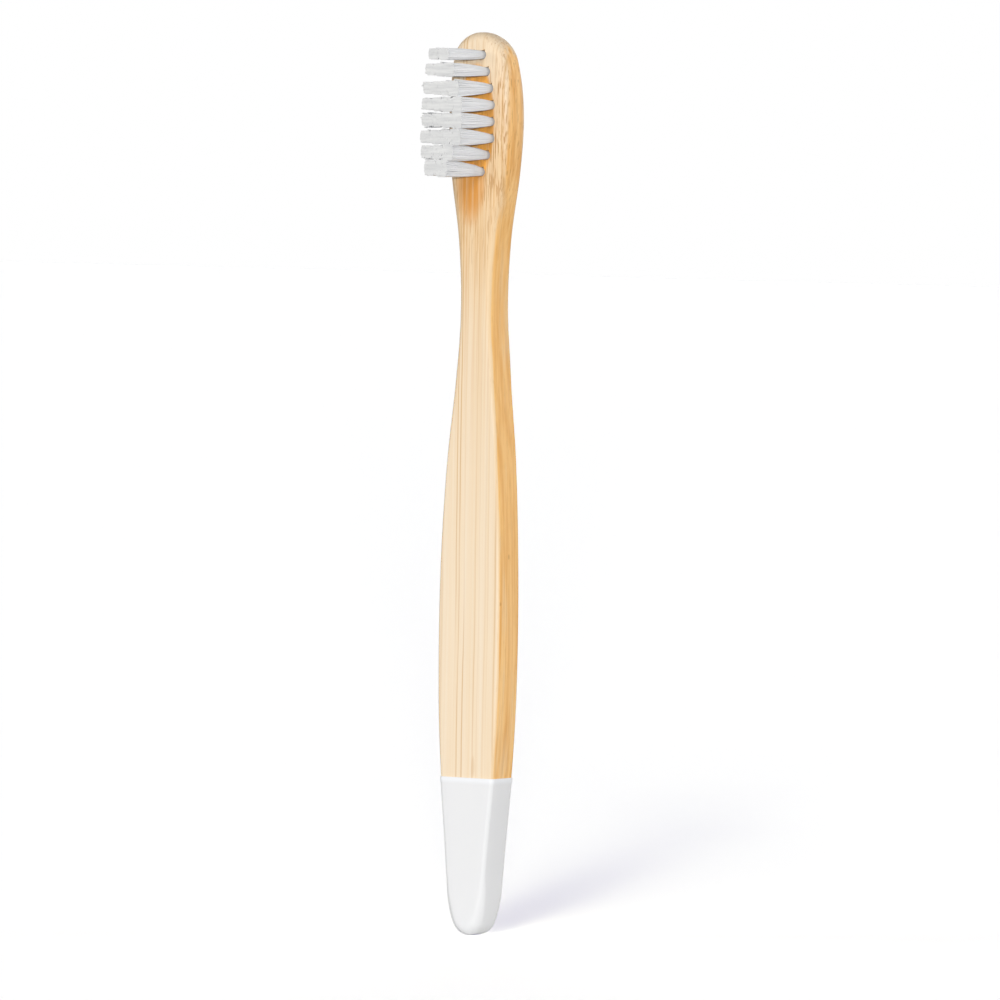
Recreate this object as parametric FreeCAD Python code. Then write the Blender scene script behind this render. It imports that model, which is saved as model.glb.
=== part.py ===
import FreeCAD, Part
import math
import os

from FreeCAD import Vector

# A child's toothbrush, upright on its butt end. X runs across the brush, Y from the bristles at -Y to
# the flat back at +Y, and Z from the butt end up to the tip of the head. Lengths are millimetres.
# The handle is cut from a flat bamboo board and its edges are rounded over. Its lower end is dipped in
# white lacquer. Each tuft of nylon is folded round a flat brass anchor, and the anchor keeps it in a
# blind hole, because it is a little wider than the hole and bites into the bamboo on both sides.

# The board
overall_length = 145.0
board_thickness = 5.8
edge_radius = 1.2
edge_bevel_count = 3

# The outline of the board, from the butt end upwards
butt_end_radius = 2.8
butt_flank_angle = 22.0
butt_shoulder_height = 5.6
butt_shoulder_width = 7.3
grip_height = 50.0
grip_width = 12.8
neck_below_tip = 43.5
neck_width = 6.35
head_middle_below_tip = 14.0
head_width = 11.9
head_end_radius = 5.5
head_flank_angle = 10.0

# Between two places of the outline: share of the way up, and share of the change in width
shoulder_to_grip_shares = ((0.20, 0.36), (0.60, 0.86))
grip_to_neck_shares = ((0.50, 0.325), (0.77, 0.75))
neck_to_head_shares = ((0.35, 0.23), (0.72, 0.83))
head_to_end_shares = ((0.55, 0.24),)

# The lacquer dip
dip_height = 25.4
lacquer_thickness = 0.15

# The field of tufts: how many stand in each row, from the tip down, and how far out the row reaches
row_tuft_counts = (2, 3, 4, 4, 4, 4, 3, 2)
row_reach_shares = (0.34, 0.63, 0.87, 1.00, 1.00, 1.00, 0.72, 0.38)
row_reach = 2.85
row_pitch = 2.67
first_row_below_tip = 3.65

# One tuft. The bristles are trimmed to a shallow hollow, so the rows at both ends stand taller
bristle_height = 9.2
end_row_rise = 1.3
tip_width_across = 1.7
tip_width_along = 2.15
strand_count = 8
strand_relief = 0.08

# One hole
hole_diameter = 1.5
hole_depth = 3.0
tuft_clearance = 0.02

# One anchor, turned a little from the grain so that a row of them doesn't split the board
anchor_width = 1.9
anchor_height = 1.3
anchor_thickness = 0.26
anchor_clearance = 0.01
anchor_turn_angle = 25.0
fold_thickness = 0.35

# Cutting tools run this far past what they cut
overrun = 1.0

board_front = -board_thickness / 2


def between(low, high, share):
    return low + (high - low) * share


def heading(turn):
    """The direction that leans this many degrees outwards from straight up."""
    return Vector(math.sin(math.radians(turn)), 0, math.cos(math.radians(turn)))


def flank_points():
    """The right-hand edge of the board, from the round of the butt end to the round of the head."""
    butt_out = heading(butt_flank_angle + 90)
    head_out = heading(90 - head_flank_angle)
    butt = Vector(0, 0, lacquer_thickness + butt_end_radius) + butt_out * butt_end_radius
    shoulder = Vector(butt_shoulder_width / 2, 0, butt_shoulder_height)
    grip = Vector(grip_width / 2, 0, grip_height)
    neck = Vector(neck_width / 2, 0, overall_length - neck_below_tip)
    head = Vector(head_width / 2, 0, overall_length - head_middle_below_tip)
    end = Vector(0, 0, overall_length - head_end_radius) + head_out * head_end_radius
    stretches = (
        (shoulder, grip, shoulder_to_grip_shares),
        (grip, neck, grip_to_neck_shares),
        (neck, head, neck_to_head_shares),
        (head, end, head_to_end_shares),
    )
    points = [butt, shoulder]
    for low, high, shares in stretches:
        for up_share, out_share in shares:
            points.append(Vector(between(low.x, high.x, out_share), 0, between(low.z, high.z, up_share)))
        points.append(high)
    return points


def middle_direction(before, here, after):
    """The direction, at the middle point, of the circle through three points."""
    first = here - before
    second = after - here
    blend = first * (second.Length / first.Length) + second * (first.Length / second.Length)
    return blend.normalize()


def biarc(start, start_direction, end, end_direction):
    """Two arcs that meet smoothly and join two points along the directions given there. Each arc is
    its start, a point halfway along it, and its end."""
    chord = end - start
    both = start_direction + end_direction
    square = both.dot(both) - 4
    lean = chord.dot(both)
    reach = (lean - math.sqrt(lean**2 - square * chord.dot(chord))) / square
    joint = (start + end + (start_direction - end_direction) * reach) / 2
    joint_direction = (end - end_direction * reach - joint).normalize()
    arcs = []
    for low, direction, high in ((start, start_direction, joint), (joint, joint_direction, end)):
        step = high - low
        sideways = direction * step.Length**2 / (2 * direction.dot(step)) - step / 2
        half_turn = direction.getAngle(step)
        arcs.append((low, (low + high) / 2 + sideways * (math.tan(half_turn / 2) / math.tan(half_turn)), high))
    return arcs


def outline():
    """The closed outline of the board in the plane y = 0, as arcs that meet smoothly. It goes up the
    right flank, round the head, down the left flank and round the butt end."""
    points = flank_points()
    directions = [heading(butt_flank_angle)]
    directions += [middle_direction(*three) for three in zip(points, points[1:], points[2:])]
    directions += [heading(-head_flank_angle)]
    right = []
    for low, low_direction, high, high_direction in zip(points, directions, points[1:], directions[1:]):
        right += biarc(low, low_direction, high, high_direction)
    left = [tuple(Vector(-point.x, 0, point.z) for point in reversed(arc)) for arc in reversed(right)]
    head_arc = (right[-1][2], Vector(0, 0, overall_length), left[0][0])
    butt_arc = (left[-1][2], Vector(0, 0, lacquer_thickness), right[0][0])
    return right + [head_arc] + left + [butt_arc]


def grown_wire(arcs, grow, depth):
    """The outline grown outwards by a distance, as a wire in the plane y = depth."""
    edges = []
    for low, middle, high in arcs:
        centre = Part.Arc(low, middle, high).toShape().Curve.Center
        chord = high - low
        outwards = 1 if (middle - centre).dot(Vector(chord.z, 0, -chord.x)) > 0 else -1
        moved = []
        for point in (low, middle, high):
            normal = (point - centre).normalize() * outwards
            moved.append(point + normal * grow + Vector(0, depth, 0))
        edges.append(Part.Arc(*moved).toShape())
    return Part.Wire(edges)


def board(grow):
    """The board with its edges rounded over in narrow bevels, grown outwards all over by the
    thickness of what lies on it."""
    arcs = outline()
    core = board_thickness / 2 - edge_radius
    radius = edge_radius + grow
    levels = []
    for bevel in range(edge_bevel_count + 1):
        angle = math.pi / 2 * bevel / edge_bevel_count
        levels.append((radius * math.cos(angle) - edge_radius, core + radius * math.sin(angle)))
    front = [grown_wire(arcs, out, -depth) for out, depth in reversed(levels)]
    back = [grown_wire(arcs, out, depth) for out, depth in levels]
    return Part.makeLoft(front + back, True, True)


def tuft_places():
    """Every tuft's row and column, its place across and up the brush, and its height."""
    places = []
    last_row = len(row_tuft_counts) - 1
    for row, (count, reach_share) in enumerate(zip(row_tuft_counts, row_reach_shares)):
        reach = row_reach * reach_share
        height = overall_length - first_row_below_tip - row * row_pitch
        from_middle = abs(between(-1, 1, row / last_row))
        rise = bristle_height + end_row_rise * from_middle**2
        for column in range(count):
            across = between(-reach, reach, column / (count - 1))
            places.append((f"{row + 1}_{column + 1}", across, height, rise))
    return places


def placed(shape, across, height):
    """A shape made round the hole's axis at the face of the board, moved to its own hole."""
    return shape.translated(Vector(across, board_front, height))


def anchor_box(width, thickness, top, bottom):
    """A flat upright block between two depths under the face of the board, at the anchor's turn."""
    block = Part.makeBox(thickness, bottom - top, width, Vector(-thickness / 2, top, -width / 2))
    block.rotate(Vector(0, 0, 0), Vector(0, 1, 0), anchor_turn_angle)
    return block


def hole_cutter():
    """The drilled hole, and the two slits that the anchor cuts in its wall on its way in."""
    radius = hole_diameter / 2
    bore = Part.makeCylinder(radius, hole_depth + overrun, Vector(0, -overrun, 0), Vector(0, 1, 0))
    slit_bottom = hole_depth - fold_thickness + anchor_clearance
    slit = anchor_box(
        anchor_width + 2 * anchor_clearance, anchor_thickness + 2 * anchor_clearance, -overrun, slit_bottom
    )
    return bore.fuse(slit)


def strand_ring(half_across, half_along, depth):
    """The fluted outline of a bundle of strands, at a depth under the face of the board."""
    corners = []
    for step in range(2 * strand_count):
        angle = math.pi * step / strand_count
        relief = strand_relief * (step % 2)
        across = (half_across - relief) * math.cos(angle)
        along = (half_along - relief) * math.sin(angle)
        corners.append(Vector(across, depth, along))
    return Part.makePolygon(corners + corners[:1])


def tuft(rise):
    """One tuft as a fluted bundle: the fold in the hole round its anchor, and the flaring bristles."""
    root = hole_diameter / 2 - tuft_clearance
    rings = [
        strand_ring(root, root, hole_depth),
        strand_ring(root, root, 0),
        strand_ring(tip_width_across / 2, tip_width_along / 2, -rise),
    ]
    bundle = Part.makeLoft(rings, True, True)
    window = anchor_box(
        anchor_width,
        anchor_thickness + 2 * anchor_clearance,
        hole_depth - fold_thickness - anchor_height - anchor_clearance,
        hole_depth - fold_thickness + anchor_clearance,
    )
    return bundle.cut(window)


def anchor():
    """One piece of flat brass wire, on edge across the hole."""
    bottom = hole_depth - fold_thickness
    return anchor_box(anchor_width, anchor_thickness, bottom - anchor_height, bottom)


def handle():
    """The bamboo board with a blind hole for each tuft."""
    cutters = [placed(hole_cutter(), across, height) for name, across, height, rise in tuft_places()]
    return board(0).cut(cutters)


def dipped_end():
    """The skin of lacquer over the lower end of the board, open at its top edge."""
    below = Part.makeBox(
        2 * grip_width, 2 * grip_width, dip_height + overrun, Vector(-grip_width, -grip_width, -overrun)
    )
    return board(lacquer_thickness).common(below).cut(board(0))


def main():
    os.makedirs("parts", exist_ok=True)
    pieces = {"handle": handle(), "dipped_end": dipped_end()}
    for name, across, height, rise in tuft_places():
        pieces[f"tuft_{name}"] = placed(tuft(rise), across, height)
        pieces[f"anchor_{name}"] = placed(anchor(), across, height)
    for name, shape in pieces.items():
        print(name, "solids", len(shape.Solids), "valid", shape.isValid(), "volume", round(shape.Volume, 3))
        shape.exportStep(f"parts/{name}.step")


main()
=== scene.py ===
import math

import bmesh
import bpy
import numpy as np
from mathutils import Matrix, Vector


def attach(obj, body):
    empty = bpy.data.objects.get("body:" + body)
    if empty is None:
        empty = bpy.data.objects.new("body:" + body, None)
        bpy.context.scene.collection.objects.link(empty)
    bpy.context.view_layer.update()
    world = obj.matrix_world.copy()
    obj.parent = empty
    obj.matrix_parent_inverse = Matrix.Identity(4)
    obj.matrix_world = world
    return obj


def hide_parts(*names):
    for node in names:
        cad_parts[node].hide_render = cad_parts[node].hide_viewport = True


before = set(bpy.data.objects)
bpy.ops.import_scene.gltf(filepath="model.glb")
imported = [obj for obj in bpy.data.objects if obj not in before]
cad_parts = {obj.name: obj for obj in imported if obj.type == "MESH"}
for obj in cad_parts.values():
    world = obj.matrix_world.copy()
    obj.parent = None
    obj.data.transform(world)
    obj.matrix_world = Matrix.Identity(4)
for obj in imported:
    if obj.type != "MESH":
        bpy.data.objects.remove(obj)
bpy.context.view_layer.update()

# The handle. It is cut from a flat strip of bamboo, waisted at the neck, and sanded so that the
# grip keeps fairly crisp edges and the head is rounded. The head gets thinner at the back towards
# its tip, and has a blind hole for each tuft, with two slits where the anchor bit into the wood.

handle_tip = 0.1450
handle_heel = 0.00015
heel_radius, heel_turn = 0.0028, math.radians(22)
head_radius, head_turn = 0.0053, math.radians(10)
board_half_thickness = 0.0029

# Half the board's width and the height there, in millimetres
flank_stations = np.array(
    [
        (2.596, 1.901),
        (3.500, 5.600),
        (3.760, 10.00),
        (4.270, 16.00),
        (5.050, 24.00),
        (5.640, 32.24),
        (6.020, 50.00),
        (5.050, 75.75),
        (3.710, 89.66),
        (3.060, 101.50),
        (3.740, 111.83),
        (5.500, 122.74),
        (6.060, 131.00),
        (5.820, 136.20),
        (5.2195, 140.620),
    ]
) / 1000
edge_heights = (0.0, 0.003, 0.010, 0.080, 0.102, 0.120, 0.145)
edge_radii = (0.0017, 0.0014, 0.0006, 0.0006, 0.0010, 0.0016, 0.0017)
head_fall_start, head_fall, tip_fall = 0.1290, 0.0009, 0.0007
sway_heights = (0.0, 0.060, 0.075, 0.094, 0.1, 0.118, 0.136, 0.145)
sways = (0.0, -0.00002, 0.00008, 0.00026, 0.00018, 0.00002, 0.0, -0.00024)
face_rulings = (0.0, 0.35, 0.7)
merge_distance = 1e-6
sharp_angle = math.radians(35)


def arc(first_angle, last_angle, radius, middle_height, steps=80):
    """An arc round a point of the centre line: the radius times the angle's cosine and sine."""
    angle = np.linspace(first_angle, last_angle, steps)
    return np.stack([np.cos(angle), np.sin(angle)], axis=1) * radius + (0, middle_height)


def flank(count, curve_steps=60):
    """The right-hand edge of the board from heel to tip, as `count` evenly spaced points. It is an
    arc of the heel's radius, then cubic curves through the stations of the flank, each leaving a
    station along the circle through it and its neighbours, then an arc of the head's radius."""
    steps = np.diff(flank_stations, axis=0)
    lengths = np.linalg.norm(steps, axis=1)[:, None]
    before, after = lengths[:-1], lengths[1:]
    directions = np.empty_like(flank_stations)
    directions[1:-1] = steps[:-1] * after / before + steps[1:] * before / after
    directions[0] = math.sin(heel_turn), math.cos(heel_turn)
    directions[-1] = -math.sin(head_turn), math.cos(head_turn)
    directions /= np.linalg.norm(directions, axis=1)[:, None]
    t = np.linspace(0, 1, curve_steps)[None, :, None]
    curve = (
        (2 * t**3 - 3 * t**2 + 1) * flank_stations[:-1, None]
        + (t**3 - 2 * t**2 + t) * (lengths * directions[:-1])[:, None]
        + (3 * t**2 - 2 * t**3) * flank_stations[1:, None]
        + (t**3 - t**2) * (lengths * directions[1:])[:, None]
    ).reshape(-1, 2)
    heel = arc(-math.pi / 2, -heel_turn, heel_radius, handle_heel + heel_radius)
    head = arc(head_turn, math.pi / 2, head_radius, handle_tip - head_radius)
    whole = np.concatenate([heel, curve, head])
    whole[:, 0] = np.minimum(whole[:, 0], flank_stations[:, 0].max())
    along = np.concatenate([[0], np.cumsum(np.linalg.norm(np.diff(whole, axis=0), axis=1))])
    even = np.linspace(0, along[-1], count)
    return np.stack([np.interp(even, along, column) for column in whole.T], axis=1)


def board_surface(growth, count=420, round_steps=9):
    """The rounded board, grown outwards by a distance that may change with height. The outline is
    carried through a profile: the flat front is ruled from the centre line out to the edge, the
    edge turns through a quarter circle down to the side, and the same again up to the back. The
    whole sways sideways with the centre line. The back of the head falls by the square of the
    height above the fall's start, and by its eighth power, which is felt only at the very tip."""
    right = flank(count)
    left = right[-2:0:-1] * (-1, 1)
    loop = np.concatenate([right, left])
    tangent = np.roll(loop, -1, axis=0) - np.roll(loop, 1, axis=0)
    tangent /= np.linalg.norm(tangent, axis=1)[:, None]
    normal = np.stack([tangent[:, 1], -tangent[:, 0]], axis=1)
    radius = np.interp(loop[:, 1], edge_heights, edge_radii)
    grow = growth(loop[:, 1])
    turn = np.linspace(math.pi / 2, 0, round_steps)
    rulings = np.array(face_rulings)
    spine_heights = np.clip(loop[:, 1], handle_heel + heel_radius, handle_tip - head_radius)
    spine = np.stack([np.zeros(len(loop)), spine_heights], axis=1)
    flat_edge = loop - normal * radius[:, None]
    flat = spine + rulings[:, None, None] * (flat_edge - spine)
    rounding = loop + normal * (np.cos(turn)[:, None] * (radius + grow) - radius)[:, :, None]
    rise = (board_half_thickness - radius) + np.sin(turn)[:, None] * (radius + grow)
    face = np.broadcast_to(board_half_thickness + grow, (len(rulings), len(loop)))
    half = np.concatenate([flat, rounding])
    half[:, :, 0] += np.interp(half[:, :, 1], sway_heights, sways)
    depth = np.concatenate([face, rise])
    x_z = np.concatenate([half, half[::-1]])
    up_head = np.clip(half[:, :, 1] - head_fall_start, 0, None) / (handle_tip - head_fall_start)
    fall_here = head_fall * up_head**2 + tip_fall * up_head**8
    y = np.concatenate([-depth, (depth - fall_here)[::-1]])
    return np.stack([x_z[:, :, 0], y, x_z[:, :, 1]], axis=2)


def quads(here):
    """The four-sided faces of a grid of point numbers whose last axis closes on itself."""
    beside = np.roll(here, -1, axis=-1)
    corners = here[..., :-1, :], beside[..., :-1, :], beside[..., 1:, :], here[..., 1:, :]
    return np.stack(corners, axis=-1).reshape(-1, 4)


def turn_outwards(mesh, merge=0.0):
    """Turns the faces of a closed mesh outwards, once points that coincide are merged."""
    surface = bmesh.new()
    surface.from_mesh(mesh)
    if merge:
        bmesh.ops.remove_doubles(surface, verts=surface.verts, dist=merge)
        bmesh.ops.dissolve_degenerate(surface, dist=merge / 10, edges=surface.edges)
    bmesh.ops.recalc_face_normals(surface, faces=surface.faces)
    surface.to_mesh(mesh)
    surface.free()


def closed_mesh(name, grid):
    """A smooth mesh from a grid of points whose rows run round and close on themselves. The centre
    lines of the front and back, where points coincide, become seams of the surface."""
    here = np.arange(grid.size // 3).reshape(grid.shape[:2])
    mesh = bpy.data.meshes.new(name)
    mesh.from_pydata(grid.reshape(-1, 3), [], quads(here))
    turn_outwards(mesh, merge_distance)
    mesh.polygons.foreach_set("use_smooth", np.ones(len(mesh.polygons), dtype=bool))
    return mesh


def added(name, data):
    """A new object in the scene, at the origin."""
    piece = bpy.data.objects.new(name, data)
    bpy.context.scene.collection.objects.link(piece)
    return piece


# The holes stand in rows, counted from the tip down
tufts_in_row = (2, 3, 4, 4, 4, 4, 3, 2)
widest_reach = 0.00285
row_reach = widest_reach * np.array([0.34, 0.63, 0.87, 1.0, 1.0, 1.0, 0.72, 0.38])
first_row_below_tip, row_pitch = 0.00365, 0.00267
row_heights = handle_tip - first_row_below_tip - row_pitch * np.arange(len(tufts_in_row))
tuft_places = [
    (row + 1, column + 1, across, row_heights[row])
    for row, many in enumerate(tufts_in_row)
    for column, across in enumerate(np.linspace(-row_reach[row], row_reach[row], many))
]
hole_radius, hole_depth = 0.00075, 0.0030
hole_sides = 24
anchor_turn = math.radians(25)
slit_width, slit_thickness, slit_depth = 0.00192, 0.00028, 0.00266
overrun = 0.001


def prisms(name, outline, bottom):
    """One upright prism for each hole, from in front of the board down to a depth in it: the
    outline carried along the hole's axis, and closed with a flat face at both ends."""
    count, sides = len(tuft_places), len(outline)
    centres = np.array([[across, 0, height] for row, column, across, height in tuft_places])
    ring = np.zeros((2, sides, 3))
    ring[:, :, [0, 2]] = outline
    ring[:, :, 1] = (np.array([-overrun, bottom]) - board_half_thickness)[:, None]
    points = centres[:, None, None] + ring
    here = np.arange(count * 2 * sides).reshape(count, 2, sides)
    walls, ends = quads(here), here.reshape(-1, sides)
    mesh = bpy.data.meshes.new(name)
    mesh.from_pydata(points.reshape(-1, 3), [], walls.tolist() + ends.tolist())
    turn_outwards(mesh)
    return added(name, mesh)


turn = np.linspace(0, 2 * math.pi, hole_sides, endpoint=False)
drill = prisms("drill", np.stack([np.cos(turn), np.sin(turn)], axis=1) * hole_radius, hole_depth)
corners = np.array([[-1, -1], [1, -1], [1, 1], [-1, 1]]) * (slit_thickness / 2, slit_width / 2)
swing = np.array(
    [
        [math.cos(anchor_turn), -math.sin(anchor_turn)],
        [math.sin(anchor_turn), math.cos(anchor_turn)],
    ]
)
blade = prisms("blade", corners @ swing, slit_depth)

handle = added("bamboo_handle", closed_mesh("bamboo_handle", board_surface(np.zeros_like)))
for cutter in (drill, blade):
    cut = handle.modifiers.new(cutter.name, "BOOLEAN")
    cut.operation = "DIFFERENCE"
    cut.solver = "EXACT"
    cut.object = cutter
bpy.context.view_layer.update()
cut_handle = handle.evaluated_get(bpy.context.evaluated_depsgraph_get())
drilled = bpy.data.meshes.new_from_object(cut_handle)
handle.modifiers.clear()
handle.data = drilled
drilled.name = "bamboo_handle"
for cutter in (drill, blade):
    bpy.data.objects.remove(cutter)
drilled.polygons.foreach_set("use_smooth", np.ones(len(drilled.polygons), dtype=bool))
drilled.set_sharp_from_angle(angle=sharp_angle)


def shader_group(name, inputs, outputs):
    """An empty node group with named sockets, and its input and output nodes."""
    group = bpy.data.node_groups.new(name, "ShaderNodeTree")
    for label, kind, value in inputs:
        socket = group.interface.new_socket(label, in_out="INPUT", socket_type=kind)
        socket.default_value = value
    for label, kind in outputs:
        group.interface.new_socket(label, in_out="OUTPUT", socket_type=kind)
    return group, group.nodes.new("NodeGroupInput"), group.nodes.new("NodeGroupOutput")


# Drawn-out noise, for wood fibres, drawn wire and strands. Scale sets how fine it is on each axis,
# and the noise from Low to High is spread over the whole range from 0 to 1
streaks, taken, given = shader_group(
    "streaks",
    [
        ("Scale", "NodeSocketVector", (1000, 1000, 20)),
        ("Low", "NodeSocketFloat", 0.35),
        ("High", "NodeSocketFloat", 0.65),
    ],
    [("Streak", "NodeSocketFloat")],
)
place = streaks.nodes.new("ShaderNodeTexCoord")
stretch = streaks.nodes.new("ShaderNodeVectorMath")
stretch.operation = "MULTIPLY"
noise = streaks.nodes.new("ShaderNodeTexNoise")
noise.inputs["Scale"].default_value = 1
noise.inputs["Detail"].default_value = 3
spread = streaks.nodes.new("ShaderNodeMapRange")
streaks.links.new(place.outputs["Object"], stretch.inputs[0])
streaks.links.new(taken.outputs["Scale"], stretch.inputs[1])
streaks.links.new(stretch.outputs[0], noise.inputs["Vector"])
streaks.links.new(noise.outputs["Fac"], spread.inputs["Value"])
streaks.links.new(taken.outputs["Low"], spread.inputs["From Min"])
streaks.links.new(taken.outputs["High"], spread.inputs["From Max"])
streaks.links.new(spread.outputs["Result"], given.inputs["Streak"])


def material_named(name):
    """A material with only its Principled shader and output, and its node tree."""
    material = bpy.data.materials.new(name)
    material.use_nodes = True
    tree = material.node_tree
    return material, tree, tree.nodes["Principled BSDF"]


def object_axes(tree):
    """A material's own place on the piece, as its sockets X, Y and Z."""
    place = tree.nodes.new("ShaderNodeTexCoord")
    axes = tree.nodes.new("ShaderNodeSeparateXYZ")
    tree.links.new(place.outputs["Object"], axes.inputs[0])
    return axes.outputs


def maths(tree, operation, first, second=0.0):
    """A Math node on two values, each a socket or a number."""
    node = tree.nodes.new("ShaderNodeMath")
    node.operation = operation
    for socket, value in zip(node.inputs, (first, second)):
        if isinstance(value, (int, float)):
            socket.default_value = value
        else:
            tree.links.new(value, socket)
    return node.outputs[0]


def times(tree, product, *values):
    """The product of a socket and more values, multiplied one after the other."""
    for value in values:
        product = maths(tree, "MULTIPLY", product, value)
    return product


def streak(tree, scale, low, high, *strength):
    """One use of the streaks group in a material, made weaker by a strength where one is given."""
    node = tree.nodes.new("ShaderNodeGroup")
    node.node_tree = streaks
    node.inputs["Scale"].default_value = scale
    node.inputs["Low"].default_value = low
    node.inputs["High"].default_value = high
    return times(tree, node.outputs["Streak"], *strength)


def ranged(tree, value, low, high, to_low=0.0, to_high=1.0):
    """A value stretched smoothly from one range to another."""
    node = tree.nodes.new("ShaderNodeMapRange")
    node.interpolation_type = "SMOOTHSTEP"
    tree.links.new(value, node.inputs["Value"])
    node.inputs["From Min"].default_value = low
    node.inputs["From Max"].default_value = high
    node.inputs["To Min"].default_value = to_low
    node.inputs["To Max"].default_value = to_high
    return node.outputs["Result"]


def mixed(tree, share, first, second):
    """Two colours, each a socket or a colour, mixed by a share."""
    node = tree.nodes.new("ShaderNodeMix")
    node.data_type = "RGBA"
    tree.links.new(share, node.inputs[0])
    for socket, value in zip((node.inputs[6], node.inputs[7]), (first, second)):
        if isinstance(value, tuple):
            socket.default_value = (*value, 1)
        else:
            tree.links.new(value, socket)
    return node.outputs[2]


def spot(tree, axes, first, second, hard, soft):
    """A mask that is full inside an ellipse and fades out across its edge. The ellipse is given by
    its middle and half its width on two axes, and the fade by shares of its squared size."""
    squares = []
    for label, middle, half in (first, second):
        offset = times(tree, maths(tree, "SUBTRACT", axes[label], middle), 1 / half)
        squares.append(times(tree, offset, offset))
    return ranged(tree, maths(tree, "ADD", *squares), hard, soft, 1.0, 0.0)


def bumped(tree, shader, height, distance):
    """A bump of a real height in metres on a shader's normal."""
    bump = tree.nodes.new("ShaderNodeBump")
    bump.inputs["Strength"].default_value = 1
    bump.inputs["Distance"].default_value = distance
    tree.links.new(height, bump.inputs["Height"])
    tree.links.new(bump.outputs["Normal"], shader.inputs["Normal"])


cream = (0.888, 0.745, 0.566)
straw = (0.835, 0.615, 0.365)
ripe_straw = (0.820, 0.545, 0.250)
# Painted shade: a warm orange for the bed between the tufts, and a darker one towards its sides
painted_shade_honey = (0.960, 0.455, 0.088)
painted_shade_dark_honey = (0.700, 0.330, 0.070)
fibre_line = (0.600, 0.340, 0.120)
tan = (0.970, 0.605, 0.248)
dark_tan = (0.810, 0.415, 0.120)
amber = (0.870, 0.470, 0.128)
head_tan = (0.680, 0.380, 0.150)
# Brown painted shade, for the streaks in the bed and for the patch under the lowest tufts, where it
# is partly stain in the wood
shade_and_stain_brown = (0.680, 0.290, 0.055)
fibre_end = (0.480, 0.225, 0.055)
hairline = (0.460, 0.210, 0.055)

# The grains of the bamboo: scale on each axis, lowest and highest noise, and for most a strength
fine_grain = ((2600, 2600, 22), 0.36, 0.66)
broad_grain = ((650, 650, 7), 0.38, 0.64)
head_grain = ((2100, 2100, 70), 0.46, 0.56, 0.34)
hairline_grain = ((4300, 4300, 230), 0.54, 0.60, 0.84)
neck_grain = ((3300, 3300, 26), 0.49, 0.60, 0.38)
# The breaks and streaks of the bed and of the patch below it are painted shade, not grain
bed_breaks = ((1500, 1500, 60), 0.14, 0.44)
bed_shade_streaks = ((2600, 2600, 190), 0.47, 0.62, 0.55)
shade_patch_breaks = ((2600, 2600, 26), 0.14, 0.50)
side_grain = ((1500, 1500, 36), 0.39, 0.65)
edge_grain = ((500, 500, 45), 0.30, 0.70)
dash_grain = ((3600, 3600, 420), 0.57, 0.66)
line_wander = ((0, 0, 28), 0.3, 0.7, 0.0003)
line_breaks = ((900, 900, 40), 0.10, 0.50)
fine_share, broad_share = 0.30, 0.25

# Where the wood's colour changes with height: from and to, and the share that it comes to
ripening, ripe_share = (0.050, 0.115), 0.17
neck_ripening, neck_ripe_share = (0.094, 0.114), 0.36
crown_paling, crown_ripe_share = (0.121, 0.141), 0.15
head_start = (0.098, 0.132)
crown_start, crown_share = (0.134, 0.142), 0.12
neck_start, neck_end = (0.072, 0.108), (0.118, 0.128)
waist_start, waist_share = (0.048, 0.068), 0.36
shoulder = (0.110, 0.122)
dash_rise, dash_shares = (0.110, 0.128), (0.12, 0.55)

# The bed between the tufts, painted with warm shade and darker towards its sides, the patch of
# painted shade under the lowest tufts, partly stain, and a small mark low down, all on the front,
# and
# two knots on the side: the middle and half the width on two axes, and the edge's fade. The front's
# skin is left behind between two depths
front_skin = (-0.0028, -0.0024)
bed_shade_spot, bed_shade_share = (("X", 0.0, 0.0037), ("Z", 0.1305, 0.0098), 0.75, 1.02), 0.95
bed_rim_start, bed_rim_end = 0.0017, 0.0029
shade_patch_spot, shade_patch_share = (("X", -0.0009, 0.0033), ("Z", 0.1207, 0.0078), 0.05, 1.00), 0.95
mark_spot, mark_share = (("X", 0.0013, 0.00045), ("Z", 0.0272, 0.0022), 0.10, 1.00), 0.24
knot_spots = (
    (("Y", -0.0002, 0.00030), ("Z", 0.0610, 0.00055), 0.05, 1.00),
    (("Y", -0.0026, 0.00040), ("Z", 0.0535, 0.00040), 0.05, 1.00),
)
right_half, knot_share = (0, 0.001), 0.60

# The turn of the surface away from the front, as the size of its normal's X: where straw, the
# side's colour and the cut ends of fibres set in, and how far the edge of the colours wanders
straw_turn, side_turn, cut_turn = (0.15, 0.80), (0.74, 0.99), (0.06, 0.40)
edge_wander_share = 0.12

# The dark fibre lines of the front: place across, half the width, strength low down and higher up
fibre_lines = (
    (-0.00520, 0.00030, 0.30, 0.35),
    (-0.00245, 0.00015, 0.05, 0.70),
    (-0.00186, 0.00015, 0.75, 0.80),
    (-0.00085, 0.00018, 0.80, 0.20),
    (0.00130, 0.00018, 0.50, 0.30),
    (0.00205, 0.00014, 0.25, 0.20),
    (0.00325, 0.00018, 0.25, 0.20),
    (0.00380, 0.00014, 0.10, 0.30),
    (0.00520, 0.00024, 0.45, 0.60),
)
lower_lines_end, upper_lines_start = 0.040, 0.062
board_span = 0.0140
wood_specular, wood_roughness, grain_relief = 0.20, (0.50, 0.62), 0.00002

bamboo, tree, shader = material_named("bamboo")
axes = object_axes(tree)
up = axes["Z"]
facing = tree.nodes.new("ShaderNodeNewGeometry")
facing_axes = tree.nodes.new("ShaderNodeSeparateXYZ")
tree.links.new(facing.outputs["Normal"], facing_axes.inputs[0])
sideways = maths(tree, "ABSOLUTE", facing_axes.outputs["X"])

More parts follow.
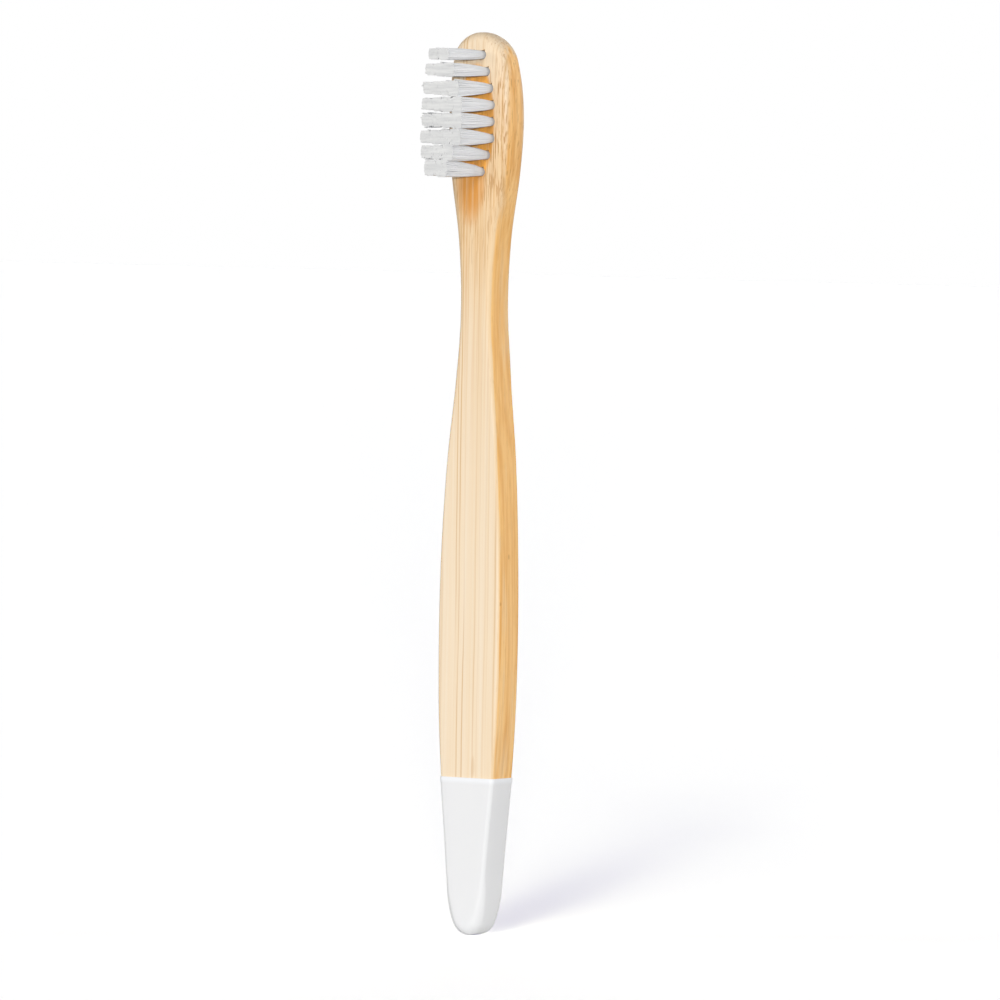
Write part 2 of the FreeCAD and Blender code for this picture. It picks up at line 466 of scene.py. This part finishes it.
fine_fibres = streak(tree, *fine_grain)
broad_fibres = streak(tree, *broad_grain)
face_colour = mixed(tree, times(tree, fine_fibres, fine_share), cream, straw)
face_colour = mixed(tree, times(tree, broad_fibres, broad_share), face_colour, straw)
riper = ranged(tree, up, *ripening, 0.0, ripe_share)
riper = maths(tree, "ADD", riper, ranged(tree, up, *neck_ripening, 0.0, neck_ripe_share))
riper = times(tree, riper, ranged(tree, up, *crown_paling, 1.0, crown_ripe_share))
face_colour = mixed(tree, riper, face_colour, ripe_straw)
head_share = ranged(tree, up, *head_start)
head_share = times(tree, head_share, ranged(tree, up, *crown_start, 1.0, crown_share))
head_fibres = times(tree, head_share, streak(tree, *head_grain))
face_colour = mixed(tree, head_fibres, face_colour, head_tan)
hairlines = times(tree, head_share, streak(tree, *hairline_grain))
face_colour = mixed(tree, hairlines, face_colour, hairline)

across = maths(tree, "ADD", axes["X"], streak(tree, *line_wander))
line_ramp = tree.nodes.new("ShaderNodeValToRGB")
across_share = maths(tree, "ADD", times(tree, across, 1 / board_span), 0.5)
tree.links.new(across_share, line_ramp.inputs["Fac"])
line_ramp.color_ramp.elements[0].color = (0, 0, 0, 1)
line_ramp.color_ramp.elements[1].color = (0, 0, 0, 1)
for middle, width, lower, upper in fibre_lines:
    for offset, share in ((-width, 0), (0, 1), (width, 0)):
        stop = line_ramp.color_ramp.elements.new((middle + offset) / board_span + 0.5)
        stop.color = (lower * share, upper * share, 0, 1)
line_sets = tree.nodes.new("ShaderNodeSeparateColor")
tree.links.new(line_ramp.outputs["Color"], line_sets.inputs[0])
higher = ranged(tree, up, lower_lines_end, upper_lines_start)
lower_part = times(tree, line_sets.outputs[0], maths(tree, "SUBTRACT", 1.0, higher))
upper_part = times(tree, line_sets.outputs[1], higher)
line_share = times(tree, maths(tree, "ADD", lower_part, upper_part), streak(tree, *line_breaks))
face_colour = mixed(tree, line_share, face_colour, fibre_line)

in_front = ranged(tree, axes["Y"], *front_skin, 1.0, 0.0)
neck_fibres = times(tree, streak(tree, *neck_grain), ranged(tree, up, *neck_start))
neck_fibres = times(tree, neck_fibres, ranged(tree, up, *neck_end, 1.0, 0.0))
face_colour = mixed(tree, neck_fibres, face_colour, head_tan)
# The bed between the tufts is painted with warm orange shade, darker towards its sides, and
# streaked with brown painted shade
bed = times(tree, spot(tree, axes, *bed_shade_spot), streak(tree, *bed_breaks))
bed = times(tree, bed, in_front, bed_shade_share)
bed_rim = ranged(tree, maths(tree, "ABSOLUTE", axes["X"]), bed_rim_start, bed_rim_end)
bed_shade_colour = mixed(tree, bed_rim, painted_shade_honey, painted_shade_dark_honey)
bed_shade_colour = mixed(tree, streak(tree, *bed_shade_streaks), bed_shade_colour, shade_and_stain_brown)
face_colour = mixed(tree, bed, face_colour, bed_shade_colour)
# Under the lowest tufts, a patch of brown painted shade, partly stain in the wood, broken into
# streaks
patch = times(tree, spot(tree, axes, *shade_patch_spot), streak(tree, *shade_patch_breaks))
patch = times(tree, patch, in_front, shade_patch_share)
face_colour = mixed(tree, patch, face_colour, shade_and_stain_brown)
mark = times(tree, spot(tree, axes, *mark_spot), in_front, mark_share)
face_colour = mixed(tree, mark, face_colour, fibre_line)

side_colour = mixed(tree, streak(tree, *side_grain), tan, dark_tan)
for knot_spot in knot_spots:
    on_right = ranged(tree, axes["X"], *right_half)
    knot = times(tree, spot(tree, axes, *knot_spot), on_right, knot_share)
    side_colour = mixed(tree, knot, side_colour, fibre_end)
below_shoulder = ranged(tree, up, *shoulder, 1.0, 0.0)
waist = times(tree, ranged(tree, up, *waist_start, 0.0, waist_share), below_shoulder)
side_colour = mixed(tree, waist, side_colour, amber)
edge_wander = ranged(tree, streak(tree, *edge_grain), 0, 1, -edge_wander_share, edge_wander_share)
turned = maths(tree, "ADD", sideways, edge_wander)
straw_share = times(tree, ranged(tree, turned, *straw_turn), below_shoulder)
face_colour = mixed(tree, straw_share, face_colour, straw)
wood = mixed(tree, ranged(tree, turned, *side_turn), face_colour, side_colour)

dashes = times(tree, streak(tree, *dash_grain), ranged(tree, sideways, *cut_turn))
dashes = times(tree, dashes, ranged(tree, up, *dash_rise, *dash_shares))
wood = mixed(tree, dashes, wood, fibre_end)
tree.links.new(wood, shader.inputs["Base Color"])
shader.inputs["Specular IOR Level"].default_value = wood_specular
tree.links.new(ranged(tree, fine_fibres, 0, 1, *wood_roughness), shader.inputs["Roughness"])
bumped(tree, shader, fine_fibres, grain_relief)

handle.data.materials.clear()
handle.data.materials.append(bamboo)
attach(handle, "root")
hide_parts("handle")

# The lacquer dip. The lower end of the handle is dipped in white satin lacquer, which dries to a
# thin skin with a slightly thicker bead along its upper edge.

dip_line = 0.0254
lacquer_thickness = 0.00015
bead_height, bead_step, drop_height = 0.0006, 0.00005, 0.0040
skin_steps = 1100
lacquer_white = (0.818, 0.818, 0.822)
lacquer_shade = (0.800, 0.803, 0.810)
lacquer_bead = (0.880, 0.890, 0.910)
shade_clouds = ((90, 90, 60), 0.3, 0.7)
skin_ripple, ripple_relief = ((700, 700, 400), 0.2, 0.8), 0.00001
lacquer_specular, lacquer_roughness = 0.15, (0.54, 0.62)


def lacquer_skin(height):
    """How thick the lacquer is: its full thickness in the bead and where the last of it ran down to
    the butt end, and a little less between, with a cosine step at both."""
    below = np.clip((dip_line - bead_height - height) / bead_height, 0, 1)
    drained = np.clip((height - drop_height) / drop_height, 0, 1)
    return lacquer_thickness - bead_step * (1 - np.cos(math.pi * below * drained)) / 2


dip = added("lacquer_dip", closed_mesh("lacquer_dip", board_surface(lacquer_skin, skin_steps)))
skin = bmesh.new()
skin.from_mesh(dip.data)
bmesh.ops.bisect_plane(
    skin,
    geom=skin.verts[:] + skin.edges[:] + skin.faces[:],
    plane_co=(0, 0, dip_line),
    plane_no=(0, 0, 1),
    clear_outer=True,
)
skin.to_mesh(dip.data)
skin.free()
wall = dip.modifiers.new("wall", "SOLIDIFY")
wall.thickness = lacquer_thickness
wall.offset = -1

lacquer, tree, shader = material_named("white_lacquer")
shade = streak(tree, *shade_clouds)
up = object_axes(tree)["Z"]
thicker = ranged(tree, up, dip_line - 2 * bead_height, dip_line - bead_height / 2)
enamel = mixed(tree, thicker, mixed(tree, shade, lacquer_white, lacquer_shade), lacquer_bead)
tree.links.new(enamel, shader.inputs["Base Color"])
tree.links.new(ranged(tree, shade, 0, 1, *lacquer_roughness), shader.inputs["Roughness"])
shader.inputs["Specular IOR Level"].default_value = lacquer_specular
bumped(tree, shader, streak(tree, *skin_ripple), ripple_relief)
dip.data.materials.append(lacquer)
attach(dip, "root")
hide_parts("dipped_end")

# The anchors. Each is a short cut from flat drawn brass wire, driven edgeways into a hole over the
# fold of its tuft. They are hidden in the wood, and the drawing leaves fine lines along the wire.

bright_brass = (0.80, 0.60, 0.28)
dull_brass = (0.62, 0.44, 0.18)
drawn_lines, line_relief = ((500, 9000, 500), 0.3, 0.7), 0.000004
brass_roughness = (0.28, 0.45)

brass, tree, shader = material_named("anchor_brass")
drawn = streak(tree, *drawn_lines)
tree.links.new(mixed(tree, drawn, bright_brass, dull_brass), shader.inputs["Base Color"])
shader.inputs["Metallic"].default_value = 1
tree.links.new(ranged(tree, drawn, 0, 1, *brass_roughness), shader.inputs["Roughness"])
bumped(tree, shader, drawn, line_relief)
for row, column, across, height in tuft_places:
    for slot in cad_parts[f"anchor_{row}_{column}"].material_slots:
        slot.material = brass

# The tufts. Each is a bundle of white nylon filaments, folded in the middle round its anchor, so
# that both halves of every filament stand up out of the hole. The trimmed ends flare and are a
# little ragged.

folded_filaments = 84
filament_radius = 0.000116
filament_sides = 6
root_thinning, shoulder_swelling, end_swelling = 0.66, 1.05, 1.30
wall_gap, top_gap = 0.00012, 0.00002
bundle_radius = hole_radius - wall_gap
trim_height = 0.0092
end_row_rise = 0.0013
longest = trim_height + end_row_rise - top_gap
anchor_half_thickness = 0.00013
anchor_top, anchor_bottom = 0.00135, 0.00265

# Each row from the tip down, in millimetres: how far its tufts flare across the brush and along
# it, how far they lean across and along, and how much more they rise than the even trim
row_shapes = np.array(
    [
        (1.00, 0.92, -0.20, 0.00, 0.00),
        (1.00, 1.03, -0.25, 0.17, 0.20),
        (1.00, 1.10, -0.20, -0.10, 0.25),
        (1.08, 1.12, -0.15, 0.00, 0.20),
        (1.10, 1.14, -0.15, 0.14, 0.20),
        (1.10, 1.18, -0.20, 0.12, 0.25),
        (1.12, 1.17, -0.38, 0.38, 0.40),
        (1.18, 1.32, -0.45, 0.50, 0.00),
    ]
) / 1000
flare_span = (-0.0028, 0.0028)
flare_shares = (0.88, 1.20)

# Along one half of a filament from its trimmed end: the share of the rise, and of the flare
leg_rises = np.array([1.0, 0.985, 0.55, 0.20, 0.0])
leg_spreads = np.array([1.0, 0.990, 0.72, 0.36, 0.0])

# How uneven the trim is, how far ends and middles stand off their places, and the stray ends
ragged, end_jitter, bow_reach = 0.00002, 0.00001, 0.00003
stray_share, stray_reach, stray_rise = 0.10, 0.00020, 0.00014
golden_share = 0.6180339887
squareness = 6
tiny = 1e-9
swing_tuft = np.array(
    [
        [math.sin(anchor_turn), math.cos(anchor_turn)],
        [math.cos(anchor_turn), -math.sin(anchor_turn)],
    ]
)


def tuft_filaments(seed, across, height, rise, flare, lean):
    """Every filament of one tuft as a six-sided tube. A filament starts at a trimmed end, runs in a
    straight slope to its place in the hole, beside the anchor and under it, and comes up again at
    the mirrored place on the other side. Places fill a half disc by the sunflower rule, and at the
    trimmed end the disc is stretched to a rounded square, by the sixth root of the sum of sixth
    powers. It gives the points, the faces, which of them are smooth, and two values for each point:
    its share of the rise, and a number that is its filament's own."""
    chance = np.random.default_rng(seed)
    pairs = (folded_filaments, 2)
    order = np.arange(folded_filaments) + 0.5
    radius = np.sqrt(order / folded_filaments)
    angle = math.pi * ((order * golden_share) % 1)
    along_anchor = radius * np.cos(angle)
    off_anchor = radius * np.sin(angle)
    room_beside = bundle_radius - anchor_half_thickness - filament_radius
    beside = anchor_half_thickness + filament_radius + off_anchor * room_beside
    chord = np.sqrt(np.clip(bundle_radius**2 - beside**2, 0, None))
    squeeze = chord / (bundle_radius * np.sqrt(1 - off_anchor**2) + tiny)
    along_beside = along_anchor * bundle_radius * squeeze
    room_under = hole_depth - anchor_bottom - 2 * filament_radius
    fold = anchor_bottom + filament_radius + room_under * off_anchor

    def leg(side):
        """One half of the filaments, from the trimmed ends down to beside the anchor."""
        stray = chance.random(folded_filaments) < stray_share
        end = rise + chance.uniform(-1, 1, folded_filaments) * ragged
        end = np.minimum(end + stray * chance.uniform(0, stray_rise, folded_filaments), longest)
        jitter = chance.normal(0, end_jitter, pairs)
        bow = chance.normal(0, bow_reach, pairs)
        base = np.stack([along_anchor, side * off_anchor], axis=1)
        turned = base @ swing_tuft
        powers = np.sum((turned / (radius[:, None] + tiny)) ** squareness, axis=1)[:, None]
        tip = turned * powers ** (-1 / squareness) * (flare - filament_radius) + jitter
        tip += (stray * radius)[:, None] * chance.normal(0, stray_reach, pairs)
        tip += lean
        foot = turned * bundle_radius
        plan = foot[:, None] + (tip - foot)[:, None] * leg_spreads[None, :, None]
        plan[:, 2] += bow
        beside_plan = (np.stack([along_beside, side * beside], axis=1) @ swing_tuft)[:, None]
        plan = np.concatenate([plan, beside_plan, beside_plan], axis=1)
        deep = np.full(pairs, (-anchor_top, -anchor_bottom))
        levels = np.concatenate([end[:, None] * leg_rises[None, :], deep], axis=1)
        return np.stack([plan[:, :, 0], -board_half_thickness - levels, plan[:, :, 1]], axis=2)

    first, second = leg(1), leg(-1)
    turned_fold = np.stack([along_beside, np.zeros(folded_filaments)], axis=1) @ swing_tuft
    middle = np.stack([turned_fold[:, 0], -board_half_thickness + fold, turned_fold[:, 1]], axis=1)
    path = np.concatenate([first, middle[:, None], second[:, ::-1]], axis=1)
    path += (across, 0, height)
    heading = np.gradient(path, axis=1)
    heading /= np.linalg.norm(heading, axis=2)[:, :, None]
    wide = np.array([swing_tuft[0, 0], 0, swing_tuft[0, 1]])
    out = wide - heading * (heading @ wide)[:, :, None]
    out /= np.linalg.norm(out, axis=2)[:, :, None]
    up = np.cross(heading, out)
    thickness = np.full(path.shape[1], filament_radius * root_thinning)
    thickness[[1, 2, -3, -2]] = filament_radius * shoulder_swelling
    thickness[[3, -4]] = filament_radius * (1 + root_thinning) / 2
    thickness[[0, -1]] = filament_radius * end_swelling
    angle = np.linspace(0, 2 * math.pi, filament_sides, endpoint=False)
    ring = np.cos(angle)[:, None] * out[:, :, None] + np.sin(angle)[:, None] * up[:, :, None]
    points = path[:, :, None] + ring * thickness[None, :, None, None]
    here = np.arange(points.size // 3).reshape(points.shape[:3])
    walls = quads(here)
    ends = np.concatenate([here[:, 0, ::-1], here[:, -1]])
    faces = walls.tolist() + ends.tolist()
    rounded = np.arange(len(faces)) < len(walls)
    from_root = np.clip((-board_half_thickness - points[..., 1]) / rise, 0, 1)
    strand = chance.uniform(0, 1, folded_filaments)[:, None, None]
    strand = np.broadcast_to(strand, from_root.shape)
    return points.reshape(-1, 3), faces, rounded, from_root.reshape(-1), strand.reshape(-1)


nylon_root = (0.83, 0.87, 0.92)
nylon_white = (0.88, 0.885, 0.90)
nylon_dull = (0.80, 0.815, 0.835)
# Painted shade where the filaments go down into the hole
nylon_root_shade = (0.40, 0.43, 0.48)
# Grey painted shade on the trimmed ends, which evens them with the shaded sides of the filaments
cut_shade_grey = (0.600, 0.602, 0.600)
cut_shade_pale = (0.705, 0.705, 0.695)
whitening, dull_share = (0, 0.70), 0.30
hole_shading, hole_shares = (0.01, 0.11), (0.75, 0.0)
cut_shade_band = (0.982, 0.998)
cut_shade_streaks = ((260, 260, 2600), 0.34, 0.66)
nylon_roughness = (0.32, 0.46)

nylon, tree, shader = material_named("nylon_bristles")
height_attribute = tree.nodes.new("ShaderNodeAttribute")
height_attribute.attribute_name = "from_root"
height_share = height_attribute.outputs["Fac"]
strand_attribute = tree.nodes.new("ShaderNodeAttribute")
strand_attribute.attribute_name = "strand"
strand_share = strand_attribute.outputs["Fac"]
nylon_colour = mixed(tree, ranged(tree, height_share, *whitening), nylon_root, nylon_white)
nylon_colour = mixed(tree, times(tree, strand_share, dull_share), nylon_colour, nylon_dull)
# The filaments darken to painted shade at the root
root_shade = ranged(tree, height_share, *hole_shading, *hole_shares)
nylon_colour = mixed(tree, root_shade, nylon_colour, nylon_root_shade)
# The trimmed ends are painted with streaked grey shade
cut_end_shade = mixed(tree, streak(tree, *cut_shade_streaks), cut_shade_grey, cut_shade_pale)
nylon_colour = mixed(tree, ranged(tree, height_share, *cut_shade_band), nylon_colour, cut_end_shade)
tree.links.new(nylon_colour, shader.inputs["Base Color"])
tree.links.new(ranged(tree, strand_share, 0, 1, *nylon_roughness), shader.inputs["Roughness"])

for row, column, across, height in tuft_places:
    flare, lean, extra_rise = np.split(row_shapes[row - 1], (2, 4))
    flare = flare * (1, np.interp(across, flare_span, flare_shares))
    from_middle = abs(2 * (row - 1) / (len(tufts_in_row) - 1) - 1)
    rise = trim_height + end_row_rise * from_middle**2 + extra_rise[0] - ragged
    seed = 100 * row + column
    filaments = tuft_filaments(seed, across, height, rise, flare, lean)
    points, faces, rounded, from_root, strand = filaments
    mesh = bpy.data.meshes.new(f"bristle_tuft_{row}_{column}")
    mesh.from_pydata(points, [], faces)
    mesh.polygons.foreach_set("use_smooth", rounded)
    for label, values in (("from_root", from_root), ("strand", strand)):
        attribute = mesh.attributes.new(label, "FLOAT", "POINT")
        attribute.data.foreach_set("value", values.astype(np.float32))
    mesh.materials.append(nylon)
    tuft = added(f"bristle_tuft_{row}_{column}", mesh)
    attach(tuft, "root")
    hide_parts(f"tuft_{row}_{column}")

# The floor and the light. A pale sweep is lost in white and keeps the soft shadow of the brush. A
# chain of soft boxes stands in front to the right, from high up down to the floor, with a low fill
# beside the camera, weak fills to the left and right and behind, and a little light from the room.

floor_size = 12.0
floor_bounce = (0.80, 0.80, 0.80)
floor_shaded = (2.652, 2.689, 1.896)
floor_glow = (0.024, 0.010, 0.305)
room_strength = 0.10

# Each lamp's strength, and in degrees its softness, its turn to the right of the front, its height
lamps = (
    ("softbox_top", 0.05, 9, 18, 40),
    ("softbox_high", 0.10, 8, 21.5, 33),
    ("softbox_middle", 0.24, 5.5, 24.5, 27),
    ("softbox_low", 0.26, 5.5, 27, 22),
    ("softbox_foot", 0.19, 8, 29, 17.5),
    ("softbox_side", 0.08, 12, 33, 14),
    ("fill", 1.95, 3, 35, 2.2),
    ("left_fill", 0.53, 20, -50, 10),
    ("right_fill", 0.56, 20, 135, 10),
    ("back_fill", 0.90, 30, 215, 7),
    ("rear_fill", 0.70, 30, 165, 7),
)


def background_share(tree):
    """1 for a ray that shows the surroundings to the camera, straight or by way of a gloss or
    something clear, and 0 for a ray that only carries light."""
    path = tree.nodes.new("ShaderNodeLightPath")
    seen = maths(tree, "MAXIMUM", path.outputs["Is Camera Ray"], path.outputs["Is Glossy Ray"])
    return maths(tree, "MAXIMUM", seen, path.outputs["Is Transmission Ray"])


mesh = bpy.data.meshes.new("floor")
edge = floor_size / 2
corners = [(-edge, -edge, 0), (edge, -edge, 0), (edge, edge, 0), (-edge, edge, 0)]
mesh.from_pydata(corners, [], [(0, 1, 2, 3)])
floor = added("floor", mesh)
paper = bpy.data.materials.new("floor_paper")
paper.use_nodes = True
tree = paper.node_tree
tree.nodes.clear()
plain = tree.nodes.new("ShaderNodeBsdfDiffuse")
plain.inputs["Color"].default_value = (*floor_bounce, 1)
shaded = tree.nodes.new("ShaderNodeBsdfDiffuse")
shaded.inputs["Color"].default_value = (*floor_shaded, 1)
glow = tree.nodes.new("ShaderNodeEmission")
glow.inputs["Color"].default_value = (*floor_glow, 1)
both = tree.nodes.new("ShaderNodeAddShader")
tree.links.new(shaded.outputs[0], both.inputs[0])
tree.links.new(glow.outputs[0], both.inputs[1])
choice = tree.nodes.new("ShaderNodeMixShader")
tree.links.new(background_share(tree), choice.inputs[0])
tree.links.new(plain.outputs[0], choice.inputs[1])
tree.links.new(both.outputs[0], choice.inputs[2])
surface = tree.nodes.new("ShaderNodeOutputMaterial")
tree.links.new(choice.outputs[0], surface.inputs["Surface"])
floor.data.materials.append(paper)

world = bpy.data.worlds.new("room")
bpy.context.scene.world = world
world.use_nodes = True
tree = world.node_tree
room = tree.nodes["Background"]
room.inputs["Color"].default_value = (1, 1, 1, 1)
strength = times(tree, background_share(tree), 1 - room_strength)
strength = maths(tree, "ADD", strength, room_strength)
tree.links.new(strength, room.inputs["Strength"])

for name, energy, softness, azimuth, elevation in lamps:
    azimuth, elevation = math.radians(azimuth), math.radians(elevation)
    lamp_data = bpy.data.lights.new(name, "SUN")
    lamp_data.energy = energy
    lamp_data.angle = math.radians(softness)
    lamp = added(name, lamp_data)
    lamp_from = Vector(
        (
            math.sin(azimuth) * math.cos(elevation),
            -math.cos(azimuth) * math.cos(elevation),
            math.sin(elevation),
        )
    )
    lamp.location = lamp_from
    lamp.rotation_mode = "QUATERNION"
    lamp.rotation_quaternion = lamp_from.to_track_quat("Z", "Y")

# The camera stands 35 degrees round to the right of the bristles, a little above the middle of the
# brush and far off, with a long lens, and is rolled by almost a degree.

camera_azimuth, camera_reach, camera_height = math.radians(35), 1.63, 0.130
camera_roll = math.radians(0.905)
aim = Vector((0, 0, 0.0725))
across_floor = (camera_reach * math.sin(camera_azimuth), -camera_reach * math.cos(camera_azimuth))
eye = Vector((*across_floor, camera_height))
camera_data = bpy.data.cameras.new("camera")
camera_data.lens = 365.6
camera_data.sensor_width = 36
camera_data.shift_x = 0.0191
camera_data.shift_y = -0.0159
camera_data.clip_start = 0.05
camera_data.clip_end = 50
camera = added("camera", camera_data)
ahead = (aim - eye).normalized()
level = ahead.cross(Vector((0, 0, 1))).normalized()
upright = level.cross(ahead)
top = upright * math.cos(camera_roll) - level * math.sin(camera_roll)
right = ahead.cross(top)
camera.matrix_world = Matrix.Translation(eye) @ Matrix((right, top, -ahead)).transposed().to_4x4()
bpy.context.scene.camera = camera
bpy.context.scene.view_settings.view_transform = "Standard"
